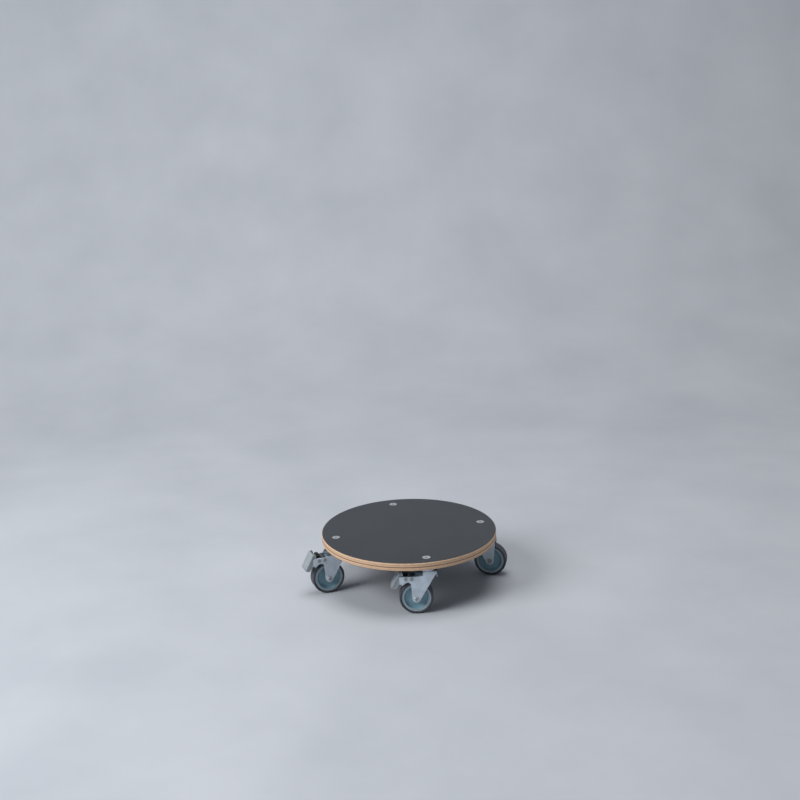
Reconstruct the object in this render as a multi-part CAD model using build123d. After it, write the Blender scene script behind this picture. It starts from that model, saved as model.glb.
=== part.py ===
from build123d import *
from math import asin, atan2, cos, hypot, radians, sin
import os

# A round plant caddy: a film-faced plywood disc on four bolted swivel casters, two of them braked.
# Millimetres, Z up. The origin is the centre of the deck's top face, and the deck lies below it.
# Each caster is drawn in a frame of its own: the origin on the swivel axis where it meets the deck's
# underside, X towards the side that the wheel trails on, Z up, so heights under the deck are negative.

# Deck
DECK_DIAMETER = 400.0
DECK_THICKNESS = 18.0
FILM_THICKNESS = 0.4
EDGE_BREAK = 0.8
BOLT_EDGE_DISTANCE = 29.8

# Casters: where each one is bolted, which way it trails, and whether it has a brake
CASTERS = {
    "right": {"seat": 0.0, "yaw": -24.3, "braked": False},
    "back": {"seat": 90.0, "yaw": 58.0, "braked": False},
    "left": {"seat": 180.0, "yaw": 187.1, "braked": True},
    "front": {"seat": 270.0, "yaw": 168.0, "braked": True},
}

# Mounting screws and nuts
SCREW_DIAMETER = 10.0
SCREW_HEAD_DIAMETER = 18.0
SCREW_HEAD_LAND = 0.5
SCREW_RECESS = 0.3
SCREW_HOLE_PLAY = 0.25
SCREW_SEAT_PLAY = 0.1
SCREW_TIP = 2.0
SOCKET_WIDTH = 6.0
SOCKET_DEPTH = 4.0
NUT_WIDTH = 17.0
NUT_HEIGHT = 8.0
THREAD_PLAY = 0.05

# Swivel head
CUP_SHEET = 3.0
CUP_WALL = 2.5
CUP_CORNER = 2.5
CUP_RIM_GAP = 0.8
RACE_GAP = 4.2
RACE_LAND = 0.4
BALL_DIAMETER = 5.0
BALL_CIRCLE_DIAMETER = 28.4
BALL_COUNT = 8
BALL_PLAY = 0.1
BALL_WALL_GAP = 1.0
PIN_DIAMETER = 16.0
PIN_SEAT_PLAY = 0.05
PIN_SWIVEL_GAP = 0.3
PIN_FLANGE_DIAMETER = 29.0
PIN_FLANGE_THICKNESS = 2.5

# Wheel
WHEEL_DIAMETER = 75.0
TYRE_WIDTH = 25.6
TYRE_SHOULDER = 3.2
TYRE_SEAT_PLAY = 0.05
RIM_DIAMETER = 64.8
RIM_WIDTH = 20.0
RIM_BAND = 5.4
RIM_EDGE = 0.7
WEB_THICKNESS = 6.4
DISH_RADIUS = 6.0
HUB_DIAMETER = 19.0
HUB_WIDTH = 28.4
SLEEVE_DIAMETER = 10.0
SLEEVE_BORE_PLAY = 0.05
AXLE_DIAMETER = 6.0
AXLE_PLAY = 0.1
AXLE_HEX_WIDTH = 10.0
AXLE_HEAD_HEIGHT = 4.0
AXLE_NUT_HEIGHT = 5.0
AXLE_TIP = 2.0

# Fork
WHEEL_HEADROOM = 35.0
TRAIL = 24.0
FORK_SHEET = 2.5
HUB_SIDE_GAP = 0.3
DOME_DIAMETER = 65.0
DOME_DEPTH = 14.0
DOME_CORNER = 5.0
FLARE_BEND = 4.0
FLARE_SKIRT = 5.5
FLARE_DROP = 11.0
KNEE_BEND = 2.0
LEG_OVERLAP = 5.0
FORK_FRONT_REACH = 21.0
FORK_TOP_REACH = 18.0
FORK_TIP_RADIUS = 9.0
FORK_REAR_REACH = 11.5
FORK_WAIST = 30.5
FORK_SHOULDER_DROP = 16.0

# Brake arms, their cross pins and what swings between them
ARM_TOP = 19.0
ARM_HEIGHT = 15.0
ARM_REACH = 61.5
ARM_CROOK = 7.0
ARM_TOE_LENGTH = 10.5
ARM_TOE_DROP = 4.5
PIN_DROP = 26.0
PEDAL_PIN_REACH = 46.5
PEDAL_PIN_DIAMETER = 6.0
STOP_PIN_REACH = 33.5
STOP_PIN_DIAMETER = 5.0
PIN_HEAD_DIAMETER = 8.0
PIN_HEAD_HEIGHT = 1.5
PIN_PLAY = 0.08
PEDAL_SHEET = 2.0
PEDAL_SIDE_GAP = 0.35
PEDAL_PLATE_THICKNESS = 2.5
PEDAL_PLATE_WIDTH = 34.0
PEDAL_PLATE_LENGTH = 42.0
PEDAL_PLATE_CORNER = 5.0
PEDAL_PLATE_TILT = 27.8
PEDAL_TOP_REACH = 60.0
PEDAL_TOP_DROP = 10.0
WING_TOP = 21.0
WING_HEEL = 6.5
SHOE_GAP = 4.0
SHOE_SHEET = 2.0
SHOE_SIDE_GAP = 0.1
SHOE_EYE_GAP = 0.2
SHOE_FROM = 44.0
SHOE_TO = 68.0
CAP_LENGTH = 17.5
CAP_BASE_HEIGHT = 4.0
CAP_KNOB_LENGTH = 8.5
CAP_KNOB_WIDTH = 20.0
CAP_KNOB_HEIGHT = 8.0
CAP_START_REACH = 39.5
CAP_CORNER = 1.5

# Worked out from the sizes above
BOLT_CIRCLE_RADIUS = DECK_DIAMETER / 2 - BOLT_EDGE_DISTANCE
DECK_UNDERSIDE = -DECK_THICKNESS
WHEEL_RADIUS = WHEEL_DIAMETER / 2
AXLE_Z = -(WHEEL_HEADROOM + WHEEL_RADIUS)
DOME_TOP = -(CUP_SHEET + RACE_GAP)
DOME_UNDERSIDE = DOME_TOP - FORK_SHEET
FLANGE_TOP = DOME_UNDERSIDE - PIN_SWIVEL_GAP
KING_PIN_BOTTOM = FLANGE_TOP - PIN_FLANGE_THICKNESS
BALL_RADIUS = BALL_DIAMETER / 2
BALL_CIRCLE_RADIUS = BALL_CIRCLE_DIAMETER / 2
RACE_RADIUS = BALL_CIRCLE_RADIUS + BALL_RADIUS + RACE_LAND
DOME_HALF_WIDTH = RACE_RADIUS + FLARE_BEND
CUP_RADIUS = BALL_CIRCLE_RADIUS + BALL_RADIUS + BALL_WALL_GAP + CUP_WALL
BALL_Z = -(CUP_SHEET + RACE_GAP / 2)
LEG_INSIDE = HUB_WIDTH / 2 + HUB_SIDE_GAP
LEG_OUTSIDE = LEG_INSIDE + FORK_SHEET
WING_OUTSIDE = LEG_INSIDE - PEDAL_SIDE_GAP
WING_INSIDE = WING_OUTSIDE - PEDAL_SHEET
SHOE_OUTSIDE = WING_INSIDE - SHOE_SIDE_GAP
AXLE_AT = (TRAIL, AXLE_Z)
PEDAL_PIN_AT = (PEDAL_PIN_REACH, -PIN_DROP)
STOP_PIN_AT = (STOP_PIN_REACH, -PIN_DROP)


def outline(*corners):
    """A closed face from (x, y, corner radius) triples."""
    points = [(x, y) for x, y, _ in corners]
    return make_face(FilletPolyline(*points, radius=[r for _, _, r in corners], close=True))


def turned(face):
    """Revolve a face of (radius, height) corners round Z."""
    return revolve(Plane.XZ * face, Axis.Z)


def turned_on_axle(face):
    """Revolve a face of (radius, y) corners round Y and stand it on the wheel's axle."""
    return Pos(TRAIL, 0, AXLE_Z) * revolve(face, Axis.Y)


def across(face, y_from, y_to):
    """A prism along Y of a face drawn in side view, x across and z up."""
    return Plane.XZ.offset(-y_to) * extrude(face, y_to - y_from)


def along(face, x_from, x_to):
    """A prism along X of a face drawn in end view, y across and z up."""
    return Plane.YZ.offset(x_from) * extrude(face, x_to - x_from)


def cross_bar(at, radius, y_from, y_to):
    """A round bar along Y through a point of the side view."""
    return across(Pos(*at) * Circle(radius), y_from, y_to)


def both_sides(solid):
    return solid + mirror(solid, Plane.XZ)


def hexagon(width, height, chamfer=0.6):
    """A hexagonal blank standing on the origin, its corners turned off at both ends."""
    corner = width / 3**0.5
    blank = extrude(RegularPolygon(corner, 6), height)
    envelope = outline(
        (0, 0, 0), (width / 2, 0, 0), (corner, chamfer, 0), (corner, height - chamfer, 0),
        (width / 2, height, 0), (0, height, 0),
    )
    return blank & turned(envelope)


def direction(angle):
    return cos(radians(angle)), sin(radians(angle))


def tangent_direction(point, centre, radius, side):
    """Unit direction from a point to where its line touches a circle, on the side given by +1 or -1."""
    dx, dy = centre[0] - point[0], centre[1] - point[1]
    turn = atan2(dy, dx) + side * asin(radius / hypot(dx, dy))
    return cos(turn), sin(turn)


def crossing(p, p_way, q, q_way):
    """Where two lines meet, each given by a point and a direction."""
    across_ways = p_way[0] * q_way[1] - p_way[1] * q_way[0]
    step = ((q[0] - p[0]) * q_way[1] - (q[1] - p[1]) * q_way[0]) / across_ways
    return p[0] + step * p_way[0], p[1] + step * p_way[1]


# Deck

def screw_body(play=0.0):
    """A countersunk screw's outer shape, or with play the hole that it sits in, deck underside at zero."""
    head, shank = SCREW_HEAD_DIAMETER / 2, SCREW_DIAMETER / 2
    head_play = SCREW_SEAT_PLAY if play else 0.0
    top = DECK_THICKNESS if play else DECK_THICKNESS - SCREW_RECESS
    land = DECK_THICKNESS - SCREW_RECESS - SCREW_HEAD_LAND
    bottom = KING_PIN_BOTTOM - NUT_HEIGHT - SCREW_TIP
    cone = head - shank
    return turned(outline(
        (0, top, 0), (head + head_play, top, 0), (head + head_play, land - head_play, 0),
        (shank + play, land - cone + play - head_play, 0), (shank + play, bottom, 0), (0, bottom, 0),
    ))


def seat_location(seat):
    x, y = direction(seat)
    return Pos(BOLT_CIRCLE_RADIUS * x, BOLT_CIRCLE_RADIUS * y, DECK_UNDERSIDE)


def caster_location(caster):
    return seat_location(caster["seat"]) * Rot(0, 0, caster["yaw"])


def drilled(blank):
    hole = screw_body(SCREW_HOLE_PLAY)
    for caster in CASTERS.values():
        blank -= seat_location(caster["seat"]) * hole
    return blank


def plywood_board():
    radius = DECK_DIAMETER / 2
    top, bottom = -FILM_THICKNESS, DECK_UNDERSIDE + FILM_THICKNESS
    return drilled(turned(outline(
        (0, top, 0), (radius - EDGE_BREAK, top, 0), (radius, top - EDGE_BREAK, 0),
        (radius, bottom + EDGE_BREAK, 0), (radius - EDGE_BREAK, bottom, 0), (0, bottom, 0),
    )))


def film(underside):
    disc = extrude(Circle(DECK_DIAMETER / 2 - EDGE_BREAK), FILM_THICKNESS)
    return drilled(Pos(0, 0, underside) * disc)


# Mounting screw, nut and the fixed half of a swivel head

def mounting_screw():
    socket = extrude(RegularPolygon(SOCKET_WIDTH / 3**0.5, 6), SOCKET_DEPTH)
    return screw_body() - Pos(0, 0, DECK_THICKNESS - SCREW_RECESS - SOCKET_DEPTH) * socket


def mounting_nut():
    thread = Cylinder(SCREW_DIAMETER / 2 + THREAD_PLAY, 3 * NUT_HEIGHT)
    return Pos(0, 0, KING_PIN_BOTTOM - NUT_HEIGHT) * (hexagon(NUT_WIDTH, NUT_HEIGHT) - thread)


def ball_groove():
    return Pos(0, 0, BALL_Z) * Torus(BALL_CIRCLE_RADIUS, BALL_RADIUS + BALL_PLAY)


def head_cup():
    bore = PIN_DIAMETER / 2 + PIN_SEAT_PLAY
    rim = DOME_TOP + CUP_RIM_GAP
    inner = CUP_RADIUS - CUP_WALL
    return turned(outline(
        (bore, 0, 0), (CUP_RADIUS, 0, CUP_CORNER), (CUP_RADIUS, rim, 0),
        (inner, rim, 0), (inner, -CUP_SHEET, 0), (bore, -CUP_SHEET, 0),
    )) - ball_groove()


def king_pin():
    bore, pin, flange = SCREW_DIAMETER / 2 + SCREW_HOLE_PLAY, PIN_DIAMETER / 2, PIN_FLANGE_DIAMETER / 2
    return turned(outline(
        (bore, 0, 0), (pin, 0, 0), (pin, FLANGE_TOP, 0), (flange, FLANGE_TOP, 0),
        (flange, KING_PIN_BOTTOM, 1.0), (bore, KING_PIN_BOTTOM, 0),
    ))


def balls():
    ring = []
    for i in range(BALL_COUNT):
        x, y = direction(360 * i / BALL_COUNT)
        ring.append(Pos(BALL_CIRCLE_RADIUS * x, BALL_CIRCLE_RADIUS * y, BALL_Z) * Sphere(BALL_RADIUS))
    return ring


# Fork

def fork_envelope():
    """End view of the fork's outside: a flat top, sides that draw in under it, and two straight legs."""
    low = AXLE_Z - 2 * FORK_TIP_RADIUS
    skirt, knee = DOME_TOP - FLARE_SKIRT, DOME_TOP - FLARE_DROP
    side = [
        (DOME_HALF_WIDTH, DOME_TOP, FLARE_BEND), (DOME_HALF_WIDTH, skirt, KNEE_BEND),
        (LEG_OUTSIDE, knee, KNEE_BEND), (LEG_OUTSIDE, low, 0),
    ]
    return outline(*side, *[(-y, z, corner) for y, z, corner in reversed(side)])


def dome_solid(inset):
    """The dome as a solid block, round at the front and back and straight at the sides, less an inset."""
    strip = Rectangle(DOME_DIAMETER, 2 * DOME_HALF_WIDTH)
    plan = Circle(DOME_DIAMETER / 2) & strip
    plan = offset(fillet(plan.vertices(), DOME_CORNER), -inset) if inset else fillet(plan.vertices(), DOME_CORNER)
    skirt = DOME_TOP - DOME_DEPTH - inset
    block = Pos(0, 0, skirt) * extrude(plan, DOME_TOP - inset - skirt)
    return fillet(block.faces().sort_by(Axis.Z)[-1].edges(), FLARE_BEND - inset)


def fork_dome():
    """The pressed dome over the balls, open underneath, its sides cut where the legs draw in."""
    shell = dome_solid(0) - dome_solid(FORK_SHEET)
    return shell & along(fork_envelope(), -DOME_DIAMETER, DOME_DIAMETER)


def fork_side(braked):
    """Side view of the fork's legs, with arms that reach back past the wheel on a braked caster."""
    above = DOME_TOP - LEG_OVERLAP
    front = (-FORK_FRONT_REACH, above)
    waist = (TRAIL + FORK_REAR_REACH, AXLE_Z + FORK_WAIST)
    tip = crossing(
        front, tangent_direction(front, AXLE_AT, FORK_TIP_RADIUS, -1),
        waist, tangent_direction(waist, AXLE_AT, FORK_TIP_RADIUS, 1),
    )
    legs = [(*front, 0), (*tip, FORK_TIP_RADIUS)]
    if not braked:
        shoulder = DOME_TOP - FORK_SHOULDER_DROP
        return outline(*legs, (*waist, 0), (waist[0], shoulder, 4.0), (FORK_TOP_REACH, above, 0))
    arm_bottom = -ARM_TOP - ARM_HEIGHT
    toe = ARM_REACH - ARM_TOE_LENGTH
    return outline(
        *legs, (waist[0], arm_bottom, ARM_CROOK),
        (toe, arm_bottom, 1.0), (toe + 1.0, arm_bottom - ARM_TOE_DROP, 1.5),
        (ARM_REACH - 1.5, arm_bottom - ARM_TOE_DROP, 2.0), (ARM_REACH, -ARM_TOP, 4.0),
        (DOME_DIAMETER / 2 - 6.0, -ARM_TOP, 12.0), (FORK_FRONT_REACH / 3, above, 0),
    )


def fork(braked):
    shell = fork_envelope()
    sheet = along(shell - offset(shell, -FORK_SHEET), -DOME_DIAMETER, DOME_DIAMETER * 1.5)
    legs = sheet & across(fork_side(braked), -DOME_DIAMETER, DOME_DIAMETER)
    body = legs + fork_dome()
    body -= Pos(0, 0, DOME_TOP) * Cylinder(PIN_DIAMETER / 2 + PIN_SWIVEL_GAP, 4 * FORK_SHEET)
    body -= ball_groove()
    body -= cross_bar(AXLE_AT, AXLE_DIAMETER / 2 + AXLE_PLAY, -DOME_DIAMETER, DOME_DIAMETER)
    if braked:
        body -= cross_bar(PEDAL_PIN_AT, PEDAL_PIN_DIAMETER / 2 + PIN_PLAY, -DOME_DIAMETER, DOME_DIAMETER)
        body -= cross_bar(STOP_PIN_AT, STOP_PIN_DIAMETER / 2 + PIN_PLAY, -DOME_DIAMETER, DOME_DIAMETER)
    return body


# Axle

def hexagon_on_side(width, height, at, y_from):
    """A hexagonal blank along +Y from a height on the fork's side."""
    return Pos(at[0], y_from, at[1]) * Rot(-90, 0, 0) * hexagon(width, height)


def axle_bolt():
    head = hexagon_on_side(AXLE_HEX_WIDTH, AXLE_HEAD_HEIGHT, AXLE_AT, -LEG_OUTSIDE - AXLE_HEAD_HEIGHT)
    shank = cross_bar(AXLE_AT, AXLE_DIAMETER / 2, -LEG_OUTSIDE, LEG_OUTSIDE + AXLE_NUT_HEIGHT + AXLE_TIP)
    return head + shank


def axle_nut():
    nut = hexagon_on_side(AXLE_HEX_WIDTH, AXLE_NUT_HEIGHT, AXLE_AT, LEG_OUTSIDE)
    return nut - cross_bar(AXLE_AT, AXLE_DIAMETER / 2 + THREAD_PLAY, 0, 2 * LEG_OUTSIDE)


def axle_sleeve():
    tube = cross_bar(AXLE_AT, SLEEVE_DIAMETER / 2, -LEG_INSIDE, LEG_INSIDE)
    return tube - cross_bar(AXLE_AT, AXLE_DIAMETER / 2 + AXLE_PLAY, -LEG_INSIDE, LEG_INSIDE)


# Wheel

def mirrored_section(*half):
    """A closed section from the corners of its +Y half, repeated below in reverse."""
    return outline(*half, *[(r, -y, corner) for r, y, corner in reversed(half)])


def wheel_centre():
    bore = SLEEVE_DIAMETER / 2 + SLEEVE_BORE_PLAY
    rim, hub = RIM_DIAMETER / 2, HUB_DIAMETER / 2
    section = mirrored_section(
        (bore, HUB_WIDTH / 2, 0), (hub - 1.0, HUB_WIDTH / 2, 0.5), (hub, WEB_THICKNESS / 2 + 0.8, 2.0),
        (rim - RIM_BAND - 2.5, WEB_THICKNESS / 2, DISH_RADIUS), (rim - RIM_BAND, RIM_WIDTH / 2, RIM_EDGE),
        (rim, RIM_WIDTH / 2, 0),
    )
    return turned_on_axle(section)


def tyre():
    seat, tread, side = RIM_DIAMETER / 2 + TYRE_SEAT_PLAY, WHEEL_RADIUS, TYRE_WIDTH / 2
    section = mirrored_section(
        (seat, RIM_WIDTH / 2 + 0.4, 0), (seat + 1.2, side, 1.0), (tread, side, TYRE_SHOULDER),
    )
    return turned_on_axle(section)


# Brake

def headed_pin(at, diameter):
    """A cross pin through both arms, with a flat head on each side."""
    bar = cross_bar(at, diameter / 2, -LEG_OUTSIDE, LEG_OUTSIDE)
    head = cross_bar(at, PIN_HEAD_DIAMETER / 2, LEG_OUTSIDE, LEG_OUTSIDE + PIN_HEAD_HEIGHT)
    return bar + both_sides(head)


def plate_ends():
    """Top and bottom of the foot plate's outer face in side view, and its outward direction."""
    down = sin(radians(PEDAL_PLATE_TILT)), -cos(radians(PEDAL_PLATE_TILT))
    outward = cos(radians(PEDAL_PLATE_TILT)), sin(radians(PEDAL_PLATE_TILT))
    top = (PEDAL_TOP_REACH, -PEDAL_TOP_DROP)
    bottom = (top[0] + PEDAL_PLATE_LENGTH * down[0], top[1] + PEDAL_PLATE_LENGTH * down[1])
    return top, bottom, down, outward


def foot_plate():
    top, bottom, down, outward = plate_ends()
    middle = ((top[0] + bottom[0]) / 2, 0, (top[1] + bottom[1]) / 2)
    face = Plane(origin=middle, x_dir=(0, 1, 0), z_dir=(-outward[0], 0, -outward[1]))
    blank = RectangleRounded(PEDAL_PLATE_WIDTH, PEDAL_PLATE_LENGTH, PEDAL_PLATE_CORNER)
    return face * extrude(blank, PEDAL_PLATE_THICKNESS)


def pedal_wing():
    """Side view of the wing that joins the foot plate to the pedal pin."""
    top, bottom, down, outward = plate_ends()
    inset = PEDAL_PLATE_THICKNESS - 0.5

    def on_plate(from_end, way):
        x = from_end[0] + way * down[0] - inset * outward[0]
        z = from_end[1] + way * down[1] - inset * outward[1]
        return x, z

    heel = PEDAL_PIN_REACH - WING_HEEL
    throat = -PIN_DROP - WING_HEEL
    upper, lower = on_plate(top, 3.0), on_plate(bottom, -5.0)
    return outline(
        (heel, -WING_TOP, 1.0), (CAP_START_REACH + CAP_LENGTH + 2.5, -WING_TOP, 2.0), (*upper, 0), (*lower, 0),
        (lower[0] - 7.0, lower[1] - 0.5, 3.0), (PEDAL_PIN_REACH + WING_HEEL, throat, 6.0),
        (heel, throat, 5.0),
    )


def pedal():
    wing = across(pedal_wing(), WING_INSIDE, WING_OUTSIDE)
    body = foot_plate() + both_sides(wing)
    return body - cross_bar(PEDAL_PIN_AT, PEDAL_PIN_DIAMETER / 2 + PIN_PLAY, -DOME_DIAMETER, DOME_DIAMETER)


def release_cap():
    """The black block that stands on the wings' top edges."""
    width = 2 * WING_OUTSIDE
    base = extrude(RectangleRounded(CAP_LENGTH, width, CAP_CORNER), CAP_BASE_HEIGHT)
    knob = extrude(RectangleRounded(CAP_KNOB_LENGTH, CAP_KNOB_WIDTH, CAP_CORNER), CAP_KNOB_HEIGHT)
    knob = chamfer(knob.faces().sort_by(Axis.Z)[-1].edges(), 1.0)
    block = base + Pos(0, 0, CAP_BASE_HEIGHT) * knob
    return Pos(CAP_START_REACH + CAP_LENGTH / 2, 0, -WING_TOP) * block


def brake_shoe():
    """A stamped shoe: a sole that follows the tyre and two lugs that hang on the pedal pin."""
    inner = WHEEL_RADIUS + SHOE_GAP
    middle = (SHOE_FROM + SHOE_TO) / 2
    ring = Circle(inner + SHOE_SHEET) - Circle(inner)
    reach = inner + 4 * SHOE_SHEET
    ways = [direction(a) for a in (SHOE_FROM, middle, SHOE_TO)]
    sector = make_face(Polyline((0, 0), *[(reach * x, reach * y) for x, y in ways], close=True))
    sole = across(Pos(*AXLE_AT) * (ring & sector), -SHOE_OUTSIDE, SHOE_OUTSIDE)
    eye = PIN_DROP - WING_TOP - SHOE_EYE_GAP
    ends = [Pos(TRAIL + (inner + 1) * x, AXLE_Z + (inner + 1) * y) * Circle(1.0) for x, y in ways]
    web = make_hull((Pos(*PEDAL_PIN_AT) * Circle(eye) + ends).edges())
    lug = across(web, SHOE_OUTSIDE - SHOE_SHEET, SHOE_OUTSIDE) - cross_bar(AXLE_AT, inner, 0, 2 * LEG_OUTSIDE)
    body = sole + both_sides(lug)
    return body - cross_bar(PEDAL_PIN_AT, PEDAL_PIN_DIAMETER / 2 + PIN_PLAY, -DOME_DIAMETER, DOME_DIAMETER)


def caster_pieces(braked):
    """The pieces of one caster by name, each in the caster's own frame."""
    pieces = {
        "head_cup": head_cup(),
        "king_pin": king_pin(),
        "fork": fork(braked),
        "axle_bolt": axle_bolt(),
        "axle_nut": axle_nut(),
        "axle_sleeve": axle_sleeve(),
        "wheel_centre": wheel_centre(),
        "tyre": tyre(),
    }
    if braked:
        pieces["pedal"] = pedal()
        pieces["release_cap"] = release_cap()
        pieces["brake_shoe"] = brake_shoe()
        pieces["pedal_pin"] = headed_pin(PEDAL_PIN_AT, PEDAL_PIN_DIAMETER)
        pieces["stop_pin"] = headed_pin(STOP_PIN_AT, STOP_PIN_DIAMETER)
    return pieces


def save(name, *shapes):
    solids = [solid for shape in shapes for solid in shape.solids()]
    shape = solids[0] if len(solids) == 1 else Compound(children=solids)
    export_step(shape, f"parts/{name}.step")


def main():
    os.makedirs("parts", exist_ok=True)
    save("plywood_board", plywood_board())
    save("top_film", film(-FILM_THICKNESS))
    save("bottom_film", film(DECK_UNDERSIDE))
    screw, nut, ring = mounting_screw(), mounting_nut(), balls()
    seats = [caster_location(caster) for caster in CASTERS.values()]
    save("mounting_screws", *[seat * screw for seat in seats])
    save("mounting_nuts", *[seat * nut for seat in seats])
    save("race_balls", *[seat * ball for seat in seats for ball in ring])
    kits = {braked: caster_pieces(braked) for braked in (False, True)}
    for name, caster in CASTERS.items():
        for piece, shape in kits[caster["braked"]].items():
            save(f"{name}_{piece}", caster_location(caster) * shape)


main()
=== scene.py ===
from math import cos, radians, sin

import bmesh
import bpy
from mathutils import Matrix, Vector


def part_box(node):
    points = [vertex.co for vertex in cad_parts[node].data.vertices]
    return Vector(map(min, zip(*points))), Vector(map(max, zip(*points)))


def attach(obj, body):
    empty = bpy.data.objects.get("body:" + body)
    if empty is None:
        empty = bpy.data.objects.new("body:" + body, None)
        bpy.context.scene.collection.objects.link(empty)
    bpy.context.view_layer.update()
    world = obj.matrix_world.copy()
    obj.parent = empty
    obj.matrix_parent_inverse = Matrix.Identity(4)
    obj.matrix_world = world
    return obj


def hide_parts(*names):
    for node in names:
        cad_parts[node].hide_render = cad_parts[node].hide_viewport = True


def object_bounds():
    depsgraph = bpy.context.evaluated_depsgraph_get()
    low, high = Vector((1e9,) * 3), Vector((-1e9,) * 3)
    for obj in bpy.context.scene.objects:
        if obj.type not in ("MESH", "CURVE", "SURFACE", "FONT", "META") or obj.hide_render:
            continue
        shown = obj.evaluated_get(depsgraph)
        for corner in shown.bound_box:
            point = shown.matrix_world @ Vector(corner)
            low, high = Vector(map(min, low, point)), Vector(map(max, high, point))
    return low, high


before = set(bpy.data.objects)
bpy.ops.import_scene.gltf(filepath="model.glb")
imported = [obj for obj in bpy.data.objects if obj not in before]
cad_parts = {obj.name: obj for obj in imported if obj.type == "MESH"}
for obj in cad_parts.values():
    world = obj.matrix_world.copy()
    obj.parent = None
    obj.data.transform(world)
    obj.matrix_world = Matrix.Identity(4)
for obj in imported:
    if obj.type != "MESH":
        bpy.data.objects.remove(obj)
cad_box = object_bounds()

# The looks of a round plant caddy: a film-faced plywood deck on four swivel casters, two of them braked.
# Metres, in the part's own frame: the origin is the centre of the deck's top face and Z is up.

# Where the casters stand, in millimetres: the seats' circle and depth, and each one's seat and yaw in degrees
MM = 0.001
SEAT_RADIUS = 170.2
SEAT_Z = -18.0
SEATS = {"right": (0.0, -24.3), "back": (90.0, 58.0), "left": (180.0, 187.1), "front": (270.0, 168.0)}

# The casters that have a pedal
BRAKED = ("left", "front")

# A caster's own sizes in millimetres, its origin on the swivel axis at the deck's underside, X trailing, Z up
TRAIL, AXLE_Z = 24.0, -72.5
LEG_OUTSIDE = 17.0
FLARE_HALF_WIDTH = 21.1
FLARE_FROM, FLARE_TO = -12.7, -18.2
DOME_RADIUS = 32.5
DOME_LIP = -21.2
RIM_RADIUS, RIM_INNER_RADIUS, RIM_FACE = 32.4, 27.0, 10.0
TYRE_SIDE = 12.8
AXLE_RADIUS = 3.0
AXLE_END = 24.0
PLATE_TOP = (60.0, -10.0)
PLATE_LENGTH, PLATE_WIDTH, PLATE_TILT = 42.0, 34.0, 27.8

# How the plain fork's head is drawn smooth, in the same frame
HEAD_BOTTOM = DOME_LIP - 1.0
TAPER_HEIGHTS = (-19.5, -14.5)
NOSE_TAPER, NOSE_REACH = 0.5, (6.0, 38.0)
TAIL_TAPER, TAIL_REACH = 0.42, (18.0, 36.0)
FLAT_RADIUS, FALL_RADIUS = 15.0, 18.0
NOSE_FALL = 7.3
SHOULDER_FALL, SHOULDER_REACH = 8.0, (5.0, 18.0)
FALL_HEIGHTS = (-20.5, -9.5)
TAIL_START, TAIL_SHORTENING = -18.0, 0.5
FINE_EDGE, FINE_MARGIN, FINE_PASSES = 2.6, 2.0, 4

# Where the pressing gets a darker zinc as painted shade under the deck: between the legs, and on the nose
SHADE_BOTTOM, SHADE_HALF_WIDTH = -23.0, 13.6
SHADE_NOSE_START, SHADE_NOSE_BOTTOM = 9.0, -18.7

# Camera, worked out from the photograph: it looks along +Y of a frame turned from the part's by VIEW_TURN
VIEW_TURN = -12.4
CAMERA_AT = (0.0, -2.9204, 1.1637)
CAMERA_PAN = 0.235
CAMERA_DIP = 16.294
CAMERA_ROLL = 1.62
CAMERA_LENS = 61.25
SENSOR_WIDTH = 36.0

# Studio
FLOOR_HALF_WIDTH = 6.0
FLOOR_FRONT = -5.0
SWEEP_START = 1.2
SWEEP_RADIUS = 1.5
WALL_HEIGHT = 4.0
SWEEP_STEPS = 24
WINDOW = {"at": (-3.0, -1.6, 2.4), "target": (0.0, 0.0, -0.05), "size": 2.3, "power": 138.0,
          "colour": (0.97, 0.985, 1.0)}
CEILING = {"at": (0.0, 0.1, 3.4), "target": (0.0, 0.0, 0.0), "size": 2.4, "power": 60.0, "colour": (1.0, 1.0, 1.0)}
SKY_COLOUR, SKY_STRENGTH = (0.83, 0.88, 0.95, 1.0), 0.27


# Node helpers

def new_material(name):
    """A new material, its tree, its shader and the object coordinates."""
    material = bpy.data.materials.new(name)
    material.use_nodes = True
    tree = material.node_tree
    shader = tree.nodes["Principled BSDF"]
    coords = tree.nodes.new("ShaderNodeTexCoord").outputs["Object"]
    return material, tree, shader, coords


def scaled(tree, coords, size):
    mapping = tree.nodes.new("ShaderNodeMapping")
    mapping.inputs["Scale"].default_value = size
    tree.links.new(coords, mapping.inputs["Vector"])
    return mapping.outputs["Vector"]


def noise(tree, coords, scale, detail=3.0, roughness=0.55):
    node = tree.nodes.new("ShaderNodeTexNoise")
    node.inputs["Scale"].default_value = scale
    node.inputs["Detail"].default_value = detail
    node.inputs["Roughness"].default_value = roughness
    tree.links.new(coords, node.inputs["Vector"])
    return node.outputs["Fac"]


def ramp(tree, value, *stops):
    """A colour ramp through (position, colour) stops."""
    node = tree.nodes.new("ShaderNodeValToRGB")
    elements = node.color_ramp.elements
    while len(elements) < len(stops):
        elements.new(0.5)
    for element, (position, colour) in zip(elements, stops):
        element.position = position
        element.color = (*colour, 1.0)
    tree.links.new(value, node.inputs["Fac"])
    return node.outputs["Color"]


def calculated(tree, operation, a, b):
    node = tree.nodes.new("ShaderNodeMath")
    node.operation = operation
    for socket, value in zip(node.inputs, (a, b)):
        if isinstance(value, (int, float)):
            socket.default_value = value
        else:
            tree.links.new(value, socket)
    return node.outputs["Value"]


def mixed(tree, share, a, b, blend="MIX"):
    node = tree.nodes.new("ShaderNodeMix")
    node.data_type = "RGBA"
    node.blend_type = blend
    for socket, value in ((node.inputs["Factor"], share), (node.inputs["A"], a), (node.inputs["B"], b)):
        if isinstance(value, tuple):
            socket.default_value = (*value, 1.0)
        elif isinstance(value, (int, float)):
            socket.default_value = value
        else:
            tree.links.new(value, socket)
    return node.outputs["Result"]


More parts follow.
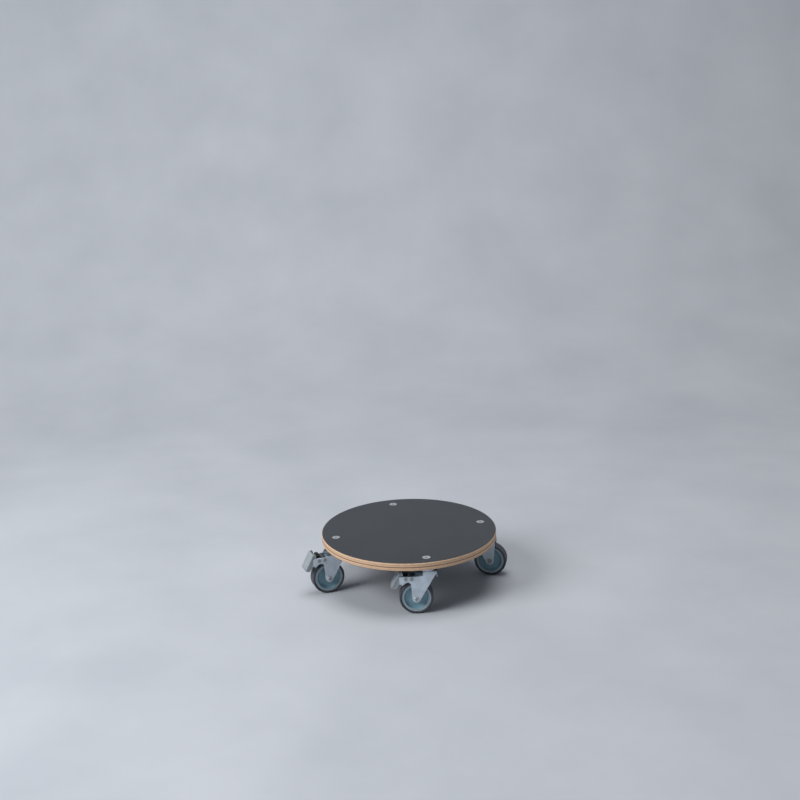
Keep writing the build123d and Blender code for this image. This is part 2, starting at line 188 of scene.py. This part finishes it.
def between(tree, value, low, high):
    """Maps a 0 to 1 value onto a range."""
    node = tree.nodes.new("ShaderNodeMapRange")
    node.inputs["To Min"].default_value = low
    node.inputs["To Max"].default_value = high
    tree.links.new(value, node.inputs["Value"])
    return node.outputs["Result"]


def bump(tree, shader, height, distance, strength=1.0):
    node = tree.nodes.new("ShaderNodeBump")
    node.inputs["Distance"].default_value = distance
    node.inputs["Strength"].default_value = strength
    tree.links.new(height, node.inputs["Height"])
    tree.links.new(node.outputs["Normal"], shader.inputs["Normal"])


def grey(level):
    return level, level, level


# Materials

PLY_TOP, PLY_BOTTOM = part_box("plywood_board")[1].z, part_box("plywood_board")[0].z
PLY_PALE, PLY_DARK = (0.74, 0.50, 0.32), (0.13, 0.045, 0.020)
PLY_WAVE = 0.0009

# How pale the edge is at each share of the way down it
PLY_LINES = ((0.0, 0.75), (0.05, 1.0), (0.19, 1.0), (0.25, 0.42), (0.31, 0.95), (0.44, 0.9), (0.50, 0.12),
             (0.57, 0.16), (0.63, 0.95), (0.76, 1.0), (0.82, 0.48), (0.88, 0.95), (1.0, 0.8))


def birch_edge():
    """Sawn birch plywood: pale plies parted by dark, slightly wavy glue lines, with a fine grain over all."""
    material, tree, shader, coords = new_material("birch_edge")
    parts = tree.nodes.new("ShaderNodeSeparateXYZ")
    tree.links.new(coords, parts.inputs["Vector"])
    wave = noise(tree, coords, 14.0, 2.0)
    shift = calculated(tree, "MULTIPLY", calculated(tree, "SUBTRACT", wave, 0.5), PLY_WAVE)
    height = calculated(tree, "ADD", parts.outputs["Z"], shift)
    depth = calculated(tree, "DIVIDE", calculated(tree, "SUBTRACT", PLY_TOP, height), PLY_TOP - PLY_BOTTOM)
    lines = ramp(tree, depth, *[(at, grey(level)) for at, level in PLY_LINES])
    base = mixed(tree, lines, PLY_DARK, PLY_PALE)
    grain = noise(tree, scaled(tree, coords, (1.0, 1.0, 7.0)), 190.0, 5.0)
    shader.inputs["Roughness"].default_value = 0.62
    shade = ramp(tree, grain, (0.3, grey(0.42)), (0.7, grey(1.35)))
    tree.links.new(mixed(tree, 0.45, base, shade, "MULTIPLY"), shader.inputs["Base Color"])
    bump(tree, shader, grain, 0.0002, 0.5)
    return material


def deck_film():
    """Dark phenolic film: smooth, a little cloudy, with a very fine tooth."""
    material, tree, shader, coords = new_material("deck_film")
    cloud = noise(tree, coords, 9.0, 4.0)
    fine = noise(tree, coords, 900.0, 2.0)
    tree.links.new(ramp(tree, cloud, (0.3, (0.013, 0.015, 0.018)), (0.7, (0.022, 0.025, 0.030))),
                   shader.inputs["Base Color"])
    tree.links.new(between(tree, cloud, 0.30, 0.40), shader.inputs["Roughness"])
    bump(tree, shader, fine, 0.00005, 0.4)
    return material


def zinc(name, tint, rough_low, rough_high, spangle=60.0):
    """Zinc-plated steel: a cloudy plating on finely rough sheet."""
    material, tree, shader, coords = new_material(name)
    cloud = noise(tree, coords, spangle, 4.0)
    fine = noise(tree, coords, 1400.0, 2.0)
    tone = ramp(tree, cloud, (0.3, tuple(0.86 * c for c in tint)), (0.7, tuple(1.08 * c for c in tint)))
    tree.links.new(tone, shader.inputs["Base Color"])
    tree.links.new(between(tree, cloud, rough_low, rough_high), shader.inputs["Roughness"])
    shader.inputs["Metallic"].default_value = 0.85
    bump(tree, shader, fine, 0.00004, 0.5)
    return material


def moulded(name, low, high, rough_low, rough_high):
    """Moulded plastic: a faint flow pattern and a fine spark-eroded skin."""
    material, tree, shader, coords = new_material(name)
    cloud = noise(tree, coords, 45.0, 3.0)
    fine = noise(tree, coords, 1800.0, 2.0)
    tree.links.new(ramp(tree, cloud, (0.3, low), (0.7, high)), shader.inputs["Base Color"])
    tree.links.new(between(tree, cloud, rough_low, rough_high), shader.inputs["Roughness"])
    bump(tree, shader, fine, 0.00004, 0.5)
    return material


def tyre_rubber():
    """Grey rubber: matt, a little cloudy."""
    material, tree, shader, coords = new_material("tyre_rubber")
    cloud = noise(tree, coords, 30.0, 4.0)
    fine = noise(tree, coords, 1200.0, 3.0)
    tree.links.new(ramp(tree, cloud, (0.3, (0.042, 0.046, 0.058)), (0.75, (0.074, 0.080, 0.098))),
                   shader.inputs["Base Color"])
    tree.links.new(between(tree, cloud, 0.55, 0.72), shader.inputs["Roughness"])
    bump(tree, shader, fine, 0.00006, 0.6)
    return material


def black_plastic():
    """Black plastic with a fine moulded skin."""
    material, tree, shader, coords = new_material("black_plastic")
    fine = noise(tree, coords, 1500.0, 2.0)
    tree.links.new(ramp(tree, fine, (0.3, grey(0.008)), (0.7, grey(0.014))), shader.inputs["Base Color"])
    shader.inputs["Roughness"].default_value = 0.42
    bump(tree, shader, fine, 0.00005, 0.6)
    return material


def make_looks():
    """Every material by a short name."""
    return {
        "birch": birch_edge(),
        "film": deck_film(),
        "sheet_zinc": zinc("sheet_zinc", (0.64, 0.71, 0.78), 0.52, 0.68),
        # Painted shade: a darker copy of the plain zinc for the fork's head under the deck and between the legs
        "painted_shade_zinc": zinc("painted_shade_zinc", (0.115, 0.150, 0.175), 0.55, 0.7),
        "pedal_zinc": zinc("pedal_zinc", (0.44, 0.475, 0.50), 0.60, 0.74, 240.0),
        "bright_zinc": zinc("bright_zinc", (0.62, 0.645, 0.66), 0.36, 0.5),
        "pin_steel": zinc("pin_steel", (0.34, 0.345, 0.35), 0.4, 0.52, 90.0),
        "dark_steel": zinc("dark_steel", (0.16, 0.155, 0.15), 0.32, 0.46, 90.0),
        "ball_steel": zinc("ball_steel", (0.7, 0.7, 0.7), 0.1, 0.16),
        "wheel_plastic": moulded("wheel_plastic", (0.160, 0.285, 0.345), (0.210, 0.355, 0.425), 0.28, 0.40),
        "rim_plastic": moulded("rim_plastic", (0.29, 0.365, 0.405), (0.35, 0.43, 0.47), 0.22, 0.32),
        "rubber": tyre_rubber(),
        "black": black_plastic(),
    }


# Which look each kind of CAD node has
NODE_LOOKS = {
    "head_cup": "sheet_zinc", "king_pin": "sheet_zinc", "fork": "sheet_zinc", "axle_bolt": "pin_steel",
    "axle_nut": "bright_zinc", "axle_sleeve": "bright_zinc", "wheel_centre": "wheel_plastic", "tyre": "rubber",
    "pedal": "pedal_zinc", "release_cap": "black", "brake_shoe": "sheet_zinc", "pedal_pin": "pin_steel",
    "stop_pin": "pin_steel", "mounting_screws": "bright_zinc", "mounting_nuts": "sheet_zinc",
    "race_balls": "ball_steel", "plywood_board": "birch", "top_film": "film", "bottom_film": "film",
}


def paint_nodes(looks):
    """Gives every CAD node its material; a caster's nodes have the caster's name in front."""
    for name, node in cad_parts.items():
        kind = name if name in NODE_LOOKS else name.split("_", 1)[1]
        node.data.materials.clear()
        node.data.materials.append(looks[NODE_LOOKS[kind]])


# Pieces

def add_object(name, data):
    thing = bpy.data.objects.new(name, data)
    bpy.context.scene.collection.objects.link(thing)
    return thing


def smooth(mesh):
    for face in mesh.polygons:
        face.use_smooth = True


def ring(first, second, count):
    """The faces between two closed rows of as many vertices, each row given by its first."""
    return [(first + i, first + (i + 1) % count, second + (i + 1) % count, second + i) for i in range(count)]


def caster_matrix(caster):
    """From a caster's own frame in millimetres to the part's frame in metres."""
    seat, yaw = SEATS[caster]
    place = (SEAT_RADIUS * cos(radians(seat)) * MM, SEAT_RADIUS * sin(radians(seat)) * MM, SEAT_Z * MM)
    return Matrix.Translation(place) @ Matrix.Rotation(radians(yaw), 4, "Z") @ Matrix.Scale(MM, 4)


def new_piece(name, mesh, body, material, crease=35.0):
    """A finished mesh as a piece that rides on a body."""
    smooth(mesh)
    mesh.set_sharp_from_angle(angle=radians(crease))
    mesh.materials.clear()
    mesh.materials.append(material)
    piece = add_object(name, mesh)
    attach(piece, body)
    return piece


def caster_mesh(name, caster, vertices, faces):
    """A mesh in the part's frame from vertices drawn in a caster's own."""
    mesh = bpy.data.meshes.new(name)
    mesh.from_pydata(vertices, [], faces)
    mesh.transform(caster_matrix(caster))
    work = bmesh.new()
    work.from_mesh(mesh)
    bmesh.ops.recalc_face_normals(work, faces=work.faces)
    work.to_mesh(mesh)
    work.free()
    return mesh


def wheel_rings(*sections, steps=120):
    """Closed sections of (radius, y) turned round the wheel's axle."""
    vertices, faces = [], []
    for section in sections:
        first, count = len(vertices), len(section)
        for i in range(steps):
            turn = radians(360.0 * i / steps)
            vertices += [(TRAIL + r * cos(turn), y, AXLE_Z + r * sin(turn)) for r, y in section]
        for i in range(steps):
            faces += ring(first + i * count, first + (i + 1) % steps * count, count)
    return vertices, faces


def both_faces(section):
    """A section and its mirror image on the wheel's other side."""
    return section, [(r, -y) for r, y in section]


def rim_bands(caster, material):
    """The moulded rim's face, which stands up in a lip at its inner and outer edge."""
    low, inner, outer = RIM_FACE - 0.3, RIM_INNER_RADIUS, RIM_RADIUS
    section = [(inner, low), (inner - 0.1, RIM_FACE + 0.5), (inner + 0.4, RIM_FACE + 0.95),
               (inner + 1.0, RIM_FACE + 0.8), (inner + 1.5, RIM_FACE + 0.3), (outer - 1.5, RIM_FACE + 0.3),
               (outer - 1.0, RIM_FACE + 0.8), (outer - 0.4, RIM_FACE + 0.95), (outer, RIM_FACE + 0.5), (outer, low)]
    mesh = caster_mesh("rim_bands", caster, *wheel_rings(*both_faces(section)))
    new_piece(f"{caster}_rim_bands", mesh, f"{caster}_wheel", material)


def tyre_beads(caster, material):
    """Two fine ribs moulded round each side of the tyre."""
    sections = []
    for radius, height in ((34.2, 0.45), (35.4, 0.3)):
        root, crest = TYRE_SIDE - 0.4, TYRE_SIDE + height
        sections += both_faces([(radius - 0.35, root), (radius - 0.2, crest), (radius + 0.2, crest),
                                (radius + 0.35, root)])
    mesh = caster_mesh("tyre_beads", caster, *wheel_rings(*sections))
    new_piece(f"{caster}_tyre_beads", mesh, f"{caster}_wheel", material)


def axle_thread(caster, material):
    """The thread that shows past the axle nut."""
    pitch, turns, steps = 0.7, 2.4, 40
    root, crest = AXLE_RADIUS - 0.1, AXLE_RADIUS + 0.16
    vertices, faces = [], []
    total = int(turns * steps)
    for i in range(total + 1):
        turn = radians(360.0 * i / steps)
        y = AXLE_END - turns * pitch - 0.1 + pitch * i / steps
        for radius, shift in ((root, -0.3), (crest, 0.0), (root, 0.3)):
            vertices.append((TRAIL + radius * cos(turn), y + shift, AXLE_Z + radius * sin(turn)))
    for i in range(total):
        a, b = 3 * i, 3 * i + 3
        faces += [(a, a + 1, b + 1, b), (a + 1, a + 2, b + 2, b + 1), (a + 2, a, b, b + 2)]
    faces += [(0, 2, 1), (3 * total, 3 * total + 1, 3 * total + 2)]
    mesh = caster_mesh("axle_thread", caster, vertices, faces)
    new_piece(f"{caster}_axle_thread", mesh, f"{caster}_swivel", material)


def pedal_grip(caster, material):
    """Rows of small pressed studs on the foot plate's outer face, every other row set over by half a step."""
    down = (sin(radians(PLATE_TILT)), -cos(radians(PLATE_TILT)))
    outward = (cos(radians(PLATE_TILT)), sin(radians(PLATE_TILT)))
    step, margin, foot, head, height = 2.9, 4.5, 1.15, 0.5, 0.6
    vertices, faces = [], []
    for row in range(int((PLATE_LENGTH - 2 * margin) / step) + 1):
        along = margin + row * step
        shift = step / 2 * (row % 2)
        columns = int((PLATE_WIDTH - 2 * margin) / step)
        for column in range(columns + (1 if row % 2 == 0 else 0)):
            y = -columns * step / 2 + column * step + shift
            first = len(vertices)
            for half, lift in ((foot, -0.1), (head, height)):
                for a, b in ((0, -half), (half, 0), (0, half), (-half, 0)):
                    x = PLATE_TOP[0] + (along + a) * down[0] + lift * outward[0]
                    z = PLATE_TOP[1] + (along + a) * down[1] + lift * outward[1]
                    vertices.append((x, y + b, z))
            faces += ring(first, first + 4, 4)
            faces += [tuple(first + 4 + j for j in range(4)), tuple(first + 3 - j for j in range(4))]
    mesh = caster_mesh("pedal_grip", caster, vertices, faces)
    new_piece(f"{caster}_pedal_grip", mesh, f"{caster}_pedal", material)


def pedal_cheeks(caster, material):
    """The foot plate's sides, folded back along its whole length and rounded at the bottom."""
    edge = ((59.4, -10.6), (56.2, -9.6), (53.4, -12.0), (52.4, -16.0), (53.0, -24.0), (55.4, -31.0), (58.6, -36.0),
            (62.2, -41.5), (65.0, -45.6), (67.4, -48.8), (70.4, -50.4), (73.6, -50.2), (76.2, -48.8), (77.9, -46.6),
            (77.4, -44.8))
    middle, bevel = (65.0, -30.0), 0.35 / 12.0
    # Each level's share of the way in to the middle, and its distance from the pedal's centre line
    levels = ((0.0, 12.3), (0.0, 13.9), (bevel, 14.25))
    vertices, faces = [], []
    for side in (-1, 1):
        first, count = len(vertices), len(edge)
        for pull, y in levels:
            for x, z in edge:
                vertices.append((x + (middle[0] - x) * pull, side * y, z + (middle[1] - z) * pull))
        for level in range(2):
            faces += ring(first + level * count, first + (level + 1) * count, count)
        faces += [tuple(first + i for i in range(count)), tuple(first + 3 * count - 1 - i for i in range(count))]
    mesh = caster_mesh("pedal_cheeks", caster, vertices, faces)
    new_piece(f"{caster}_pedal_cheeks", mesh, f"{caster}_pedal", material)


def release_button(caster, material):
    """The black button on the pedal: a rounded cap over a wider skirt."""
    # Height, half length and half width of each level
    levels = ((-21.0, 6.3, 13.4), (-20.7, 6.8, 13.9), (-19.6, 6.8, 13.9), (-19.3, 6.5, 13.6), (-19.2, 6.8, 7.0),
              (-18.8, 7.1, 7.3), (-16.9, 7.1, 7.3), (-16.2, 6.6, 6.8), (-15.8, 4.8, 5.6), (-13.0, 4.4, 5.2),
              (-12.1, 3.9, 4.7), (-11.7, 2.9, 3.7))
    centre, steps = 48.4, 56
    vertices, faces = [], []
    for z, half_x, half_y in levels:
        for i in range(steps):
            turn = radians(360.0 * i / steps)
            c, s = cos(turn), sin(turn)
            squareness = (abs(c) ** 4 + abs(s) ** 4) ** 0.25
            vertices.append((centre + half_x * c / squareness, half_y * s / squareness, z))
    for level in range(len(levels) - 1):
        faces += ring(level * steps, (level + 1) * steps, steps)
    faces += [tuple(reversed(range(steps))), tuple((len(levels) - 1) * steps + i for i in range(steps))]
    mesh = caster_mesh("release_button", caster, vertices, faces)
    piece = new_piece(f"{caster}_release_button", mesh, f"{caster}_pedal", material)
    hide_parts(f"{caster}_release_cap")


def rise(value, low, high):
    """Rises evenly from 0 at low to 1 at high."""
    return min(max((value - low) / (high - low), 0.0), 1.0)


def eased(value, low, high):
    """Rises smoothly from 0 at low to 1 at high."""
    part = rise(value, low, high)
    return part * part * (3.0 - 2.0 * part)


def pressed_point(x, y, z):
    """Where a point of the plain fork lies once its head is drawn: flush sides, a rounded and tapered nose."""
    if z < HEAD_BOTTOM:
        return x, y, z
    flare = rise(z, FLARE_TO, FLARE_FROM)
    y *= LEG_OUTSIDE / (LEG_OUTSIDE + flare * (FLARE_HALF_WIDTH - LEG_OUTSIDE))
    taper = NOSE_TAPER * eased(x, *NOSE_REACH) + TAIL_TAPER * eased(-x, *TAIL_REACH)
    y *= 1.0 - taper * eased(z, *TAPER_HEIGHTS)
    reach = (x * x + y * y) ** 0.5
    nose = rise(reach, FALL_RADIUS, DOME_RADIUS)
    fall = NOSE_FALL * (1.0 - (1.0 - nose * nose) ** 0.5)
    fall += SHOULDER_FALL * eased(x, *SHOULDER_REACH) * (abs(y) / LEG_OUTSIDE) ** 3
    z -= eased(reach, FLAT_RADIUS, FALL_RADIUS) * fall * rise(z, *FALL_HEIGHTS)
    if x < TAIL_START:
        x = TAIL_START + TAIL_SHORTENING * (x - TAIL_START)
    return x, y, z


def in_painted_shade(x, y, z):
    """Whether a point of the pressing lies in the painted shade under the deck."""
    return z > SHADE_BOTTOM and (abs(y) < SHADE_HALF_WIDTH or (x > SHADE_NOSE_START and z > SHADE_NOSE_BOTTOM))


def fork_pressing(caster, material, shade_material):
    """The fork with its head drawn smooth, in place of the plain one; the head between the legs and on the nose
    gets a darker zinc as painted shade.
    """
    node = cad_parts[f"{caster}_fork"]
    place = caster_matrix(caster)
    work = bmesh.new()
    work.from_mesh(node.data)
    bmesh.ops.transform(work, matrix=place.inverted(), verts=work.verts)
    bmesh.ops.remove_doubles(work, verts=work.verts, dist=0.001)
    bmesh.ops.triangulate(work, faces=work.faces)
    for _ in range(FINE_PASSES):
        long_edges = [edge for edge in work.edges if edge.calc_length() > FINE_EDGE
                      and max(vertex.co.z for vertex in edge.verts) > DOME_LIP - FINE_MARGIN]
        bmesh.ops.subdivide_edges(work, edges=long_edges, cuts=1)
        bmesh.ops.triangulate(work, faces=[face for face in work.faces if len(face.verts) > 3])
    for vertex in work.verts:
        vertex.co = pressed_point(*vertex.co)
    bmesh.ops.transform(work, matrix=place, verts=work.verts)
    mesh = bpy.data.meshes.new(f"{caster}_fork_pressing")
    work.to_mesh(mesh)
    work.free()
    piece = new_piece(f"{caster}_fork_pressing", mesh, f"{caster}_swivel", material, 28.0)
    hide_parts(f"{caster}_fork")
    mesh.materials.append(shade_material)
    local = place.inverted()
    # Faces under the deck and between the legs get the darker zinc as painted shade
    for face in mesh.polygons:
        face.material_index = int(in_painted_shade(*(local @ face.center)))


def add_pieces(looks):
    for caster in SEATS:
        fork_pressing(caster, looks["sheet_zinc"], looks["painted_shade_zinc"])
        rim_bands(caster, looks["rim_plastic"])
        tyre_beads(caster, looks["rubber"])
        axle_thread(caster, looks["dark_steel"])
    for caster in BRAKED:
        pedal_grip(caster, looks["pedal_zinc"])
        pedal_cheeks(caster, looks["pedal_zinc"])
        release_button(caster, looks["black"])


# Studio

def sweep():
    """A pale floor that curves up into a backdrop behind the object."""
    floor = cad_box[0][2]
    profile = [(FLOOR_FRONT, floor), (SWEEP_START, floor)]
    for i in range(1, SWEEP_STEPS + 1):
        turn = radians(90.0 * i / SWEEP_STEPS)
        profile.append((SWEEP_START + SWEEP_RADIUS * sin(turn), floor + SWEEP_RADIUS * (1 - cos(turn))))
    profile.append((profile[-1][0], floor + WALL_HEIGHT))
    vertices = [(side * FLOOR_HALF_WIDTH, y, z) for y, z in profile for side in (-1, 1)]
    faces = [(2 * i, 2 * i + 1, 2 * i + 3, 2 * i + 2) for i in range(len(profile) - 1)]
    mesh = bpy.data.meshes.new("sweep")
    mesh.from_pydata(vertices, [], faces)
    smooth(mesh)
    stage = add_object("sweep", mesh)
    stage.matrix_world = Matrix.Rotation(radians(VIEW_TURN), 4, "Z")
    material, tree, shader, coords = new_material("pale_floor")
    cloud = noise(tree, coords, 3.0, 5.0)
    tree.links.new(ramp(tree, cloud, (0.3, (0.43, 0.45, 0.485)), (0.7, (0.49, 0.51, 0.545))),
                   shader.inputs["Base Color"])
    shader.inputs["Roughness"].default_value = 0.75
    stage.data.materials.append(material)


def area_light(name, *, at, target, size, power, colour):
    light = bpy.data.lights.new(name, "AREA")
    light.shape = "DISK"
    light.size = size
    light.energy = power
    light.color = colour
    lamp = add_object(name, light)
    turn = Matrix.Rotation(radians(VIEW_TURN), 4, "Z")
    place = turn @ Vector(at)
    lamp.location = place
    lamp.rotation_euler = (turn @ Vector(target) - place).to_track_quat("-Z", "Y").to_euler()


def studio():
    sweep()
    area_light("window", **WINDOW)
    area_light("ceiling", **CEILING)
    world = bpy.data.worlds.new("world")
    bpy.context.scene.world = world
    world.use_nodes = True
    background = world.node_tree.nodes["Background"]
    background.inputs["Color"].default_value = SKY_COLOUR
    background.inputs["Strength"].default_value = SKY_STRENGTH
    bpy.context.scene.view_settings.view_transform = "Standard"


def camera():
    data = bpy.data.cameras.new("camera")
    data.sensor_width = SENSOR_WIDTH
    data.lens = CAMERA_LENS
    data.clip_end = 50.0
    view = add_object("camera", data)
    view.matrix_world = (
        Matrix.Rotation(radians(VIEW_TURN), 4, "Z")
        @ Matrix.Translation(CAMERA_AT)
        @ Matrix.Rotation(radians(CAMERA_PAN), 4, "Z")
        @ Matrix.Rotation(radians(90.0 - CAMERA_DIP), 4, "X")
        @ Matrix.Rotation(radians(-CAMERA_ROLL), 4, "Z")
    )
    bpy.context.scene.camera = view


looks = make_looks()
paint_nodes(looks)
add_pieces(looks)
studio()
camera()
